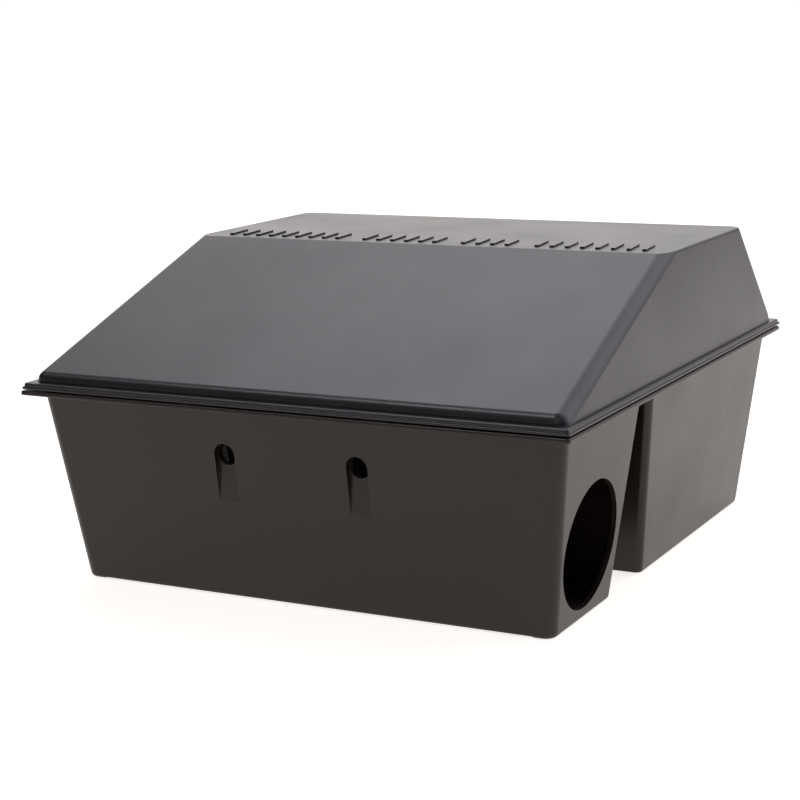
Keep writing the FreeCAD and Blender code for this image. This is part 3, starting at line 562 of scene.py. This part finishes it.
def mould_marks(name, body, slot, rings, gates):
    """All the marks of one moulding, joined in one piece."""
    shape = bmesh.new()
    for x, y, z, radius, facing in rings:
        ring_mark(shape, Vector((x, y, z)), radius, 0.14, facing)
    for x, y, z, facing in gates:
        gate_mark(shape, Vector((x, y, z)), facing)
    bmesh.ops.recalc_face_normals(shape, faces=shape.faces)
    mesh = bpy.data.meshes.new(name)
    shape.to_mesh(mesh)
    shape.free()
    piece = bpy.data.objects.new(name, mesh)
    bpy.context.scene.collection.objects.link(piece)
    mesh.materials.append(FINISHES[slot])
    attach(piece, body)


TUB_FLOOR = 3.2
LID_ROOF = 138.8
mould_marks(
    "tub_mould_marks", "tub", "tub_plastic",
    [(x, y, TUB_FLOOR, 4.0, 1) for x in (-96, -30, 30, 96) for y in (-98, -72)]
    + [(x, y, TUB_FLOOR, 4.0, 1) for x in (-102, 102) for y in (-6, 104)],
    [(0, 34, 0.8, -1)])
mould_marks(
    "lid_mould_marks", "lid", "lid_plastic",
    [(x, y, LID_ROOF, 3.5, -1) for x in (-100, -50, 0, 50, 100) for y in (18, 82)],
    [(0, 50, LID_ROOF, -1)])


# ---------------------------------------------------------------- studio
def pale_floor():
    mesh = bpy.data.meshes.new("studio_floor")
    half, front = 3.0, -0.75
    mesh.from_pydata([(-half, front, 0), (half, front, 0), (half, half, 0), (-half, half, 0)],
                     [], [(0, 1, 2, 3)])
    floor = bpy.data.objects.new("studio_floor", mesh)
    bpy.context.scene.collection.objects.link(floor)
    floor.location.z = -0.0002
    material, _, shader, _ = blank_material("studio_floor")
    shader.inputs["Base Color"].default_value = (0.52, 0.51, 0.50, 1)
    shader.inputs["Roughness"].default_value = 0.9
    shader.inputs["Emission Color"].default_value = (1.05, 1.0, 0.955, 1)
    shader.inputs["Emission Strength"].default_value = 0.80
    mesh.materials.append(material)


def heading(azimuth, elevation):
    """A direction: azimuth in degrees from the back towards the right, elevation from level."""
    turn, rise = math.radians(azimuth), math.radians(elevation)
    return Vector((math.sin(turn) * math.cos(rise), math.cos(turn) * math.cos(rise),
                   math.sin(rise)))


def studio_sky(glows):
    """A dark room lit by wide soft glows, each (azimuth, elevation, strength, sharpness, tint)."""
    world = bpy.data.worlds.new("studio")
    bpy.context.scene.world = world
    world.use_nodes = True
    tree = world.node_tree
    tree.nodes.clear()
    looking = tree.nodes.new("ShaderNodeTexCoord").outputs["Generated"]
    total = None
    for azimuth, elevation, strength, sharpness, tint in glows:
        meet = add(tree, "ShaderNodeVectorMath", {0: looking, 1: heading(azimuth, elevation)},
                   operation="DOT_PRODUCT")
        lobe = sums(tree, "POWER", sums(tree, "MAXIMUM", meet.outputs["Value"], 0.0), sharpness)
        part = add(tree, "ShaderNodeVectorMath",
                   {0: tint, "Scale": sums(tree, "MULTIPLY", lobe, strength)}, operation="SCALE")
        if total is None:
            total = part.outputs["Vector"]
        else:
            total = add(tree, "ShaderNodeVectorMath", {0: total, 1: part.outputs["Vector"]},
                        operation="ADD").outputs["Vector"]
    seen = add(tree, "ShaderNodeLightPath").outputs["Is Camera Ray"]
    shown = blend_colours(tree, seen, total, BACKDROP)
    glow = add(tree, "ShaderNodeBackground", {"Color": shown, "Strength": 1.0})
    final = tree.nodes.new("ShaderNodeOutputWorld")
    tree.links.new(glow.outputs[0], final.inputs["Surface"])


pale_floor()
studio_sky((
    (-22, 45, 1.16, 8.0, (0.980, 0.975, 1.050)),
    (-30, 12, 1.05, 8.0, (1.050, 1.000, 0.950)),
    (10, 45, 0.36, 8.0, (1.000, 1.000, 1.000)),
    (45, 45, 1.60, 8.0, (1.000, 0.985, 1.020)),
    (60, 12, 1.95, 8.0, (1.010, 0.965, 1.040)),
    (-42, 55, 2.60, 60.0, (0.990, 0.990, 1.030)),
    (-131, 58, 17.0, 190.0, (1.000, 1.000, 1.020)),
    (175, 38, 0.90, 8.0, (1.000, 1.000, 1.000)),
))


# ---------------------------------------------------------------- camera
def place_camera():
    """A short telephoto view from the front right, a little above the lid."""
    azimuth, elevation, roll = (math.radians(a) for a in (27.11, 11.96, -1.40))
    target = Vector((6.97, 3.59, 66.02)) * MM
    distance = 0.89339
    back = Vector((math.sin(azimuth) * math.cos(elevation),
                   -math.cos(azimuth) * math.cos(elevation), math.sin(elevation)))
    right = Vector((math.cos(azimuth), math.sin(azimuth), 0.0))
    upward = back.cross(right)
    tilted_right = math.cos(roll) * right + math.sin(roll) * upward
    tilted_up = -math.sin(roll) * right + math.cos(roll) * upward
    turn = Matrix((tilted_right, tilted_up, back)).transposed()
    data = bpy.data.cameras.new("camera")
    data.lens = 85.36
    data.sensor_width = 36.0
    data.shift_x = -0.0545
    data.shift_y = 0.0011
    camera = bpy.data.objects.new("camera", data)
    bpy.context.scene.collection.objects.link(camera)
    camera.matrix_world = Matrix.Translation(target + distance * back) @ turn.to_4x4()
    bpy.context.scene.camera = camera


place_camera()
bpy.context.scene.view_settings.view_transform = "Standard"
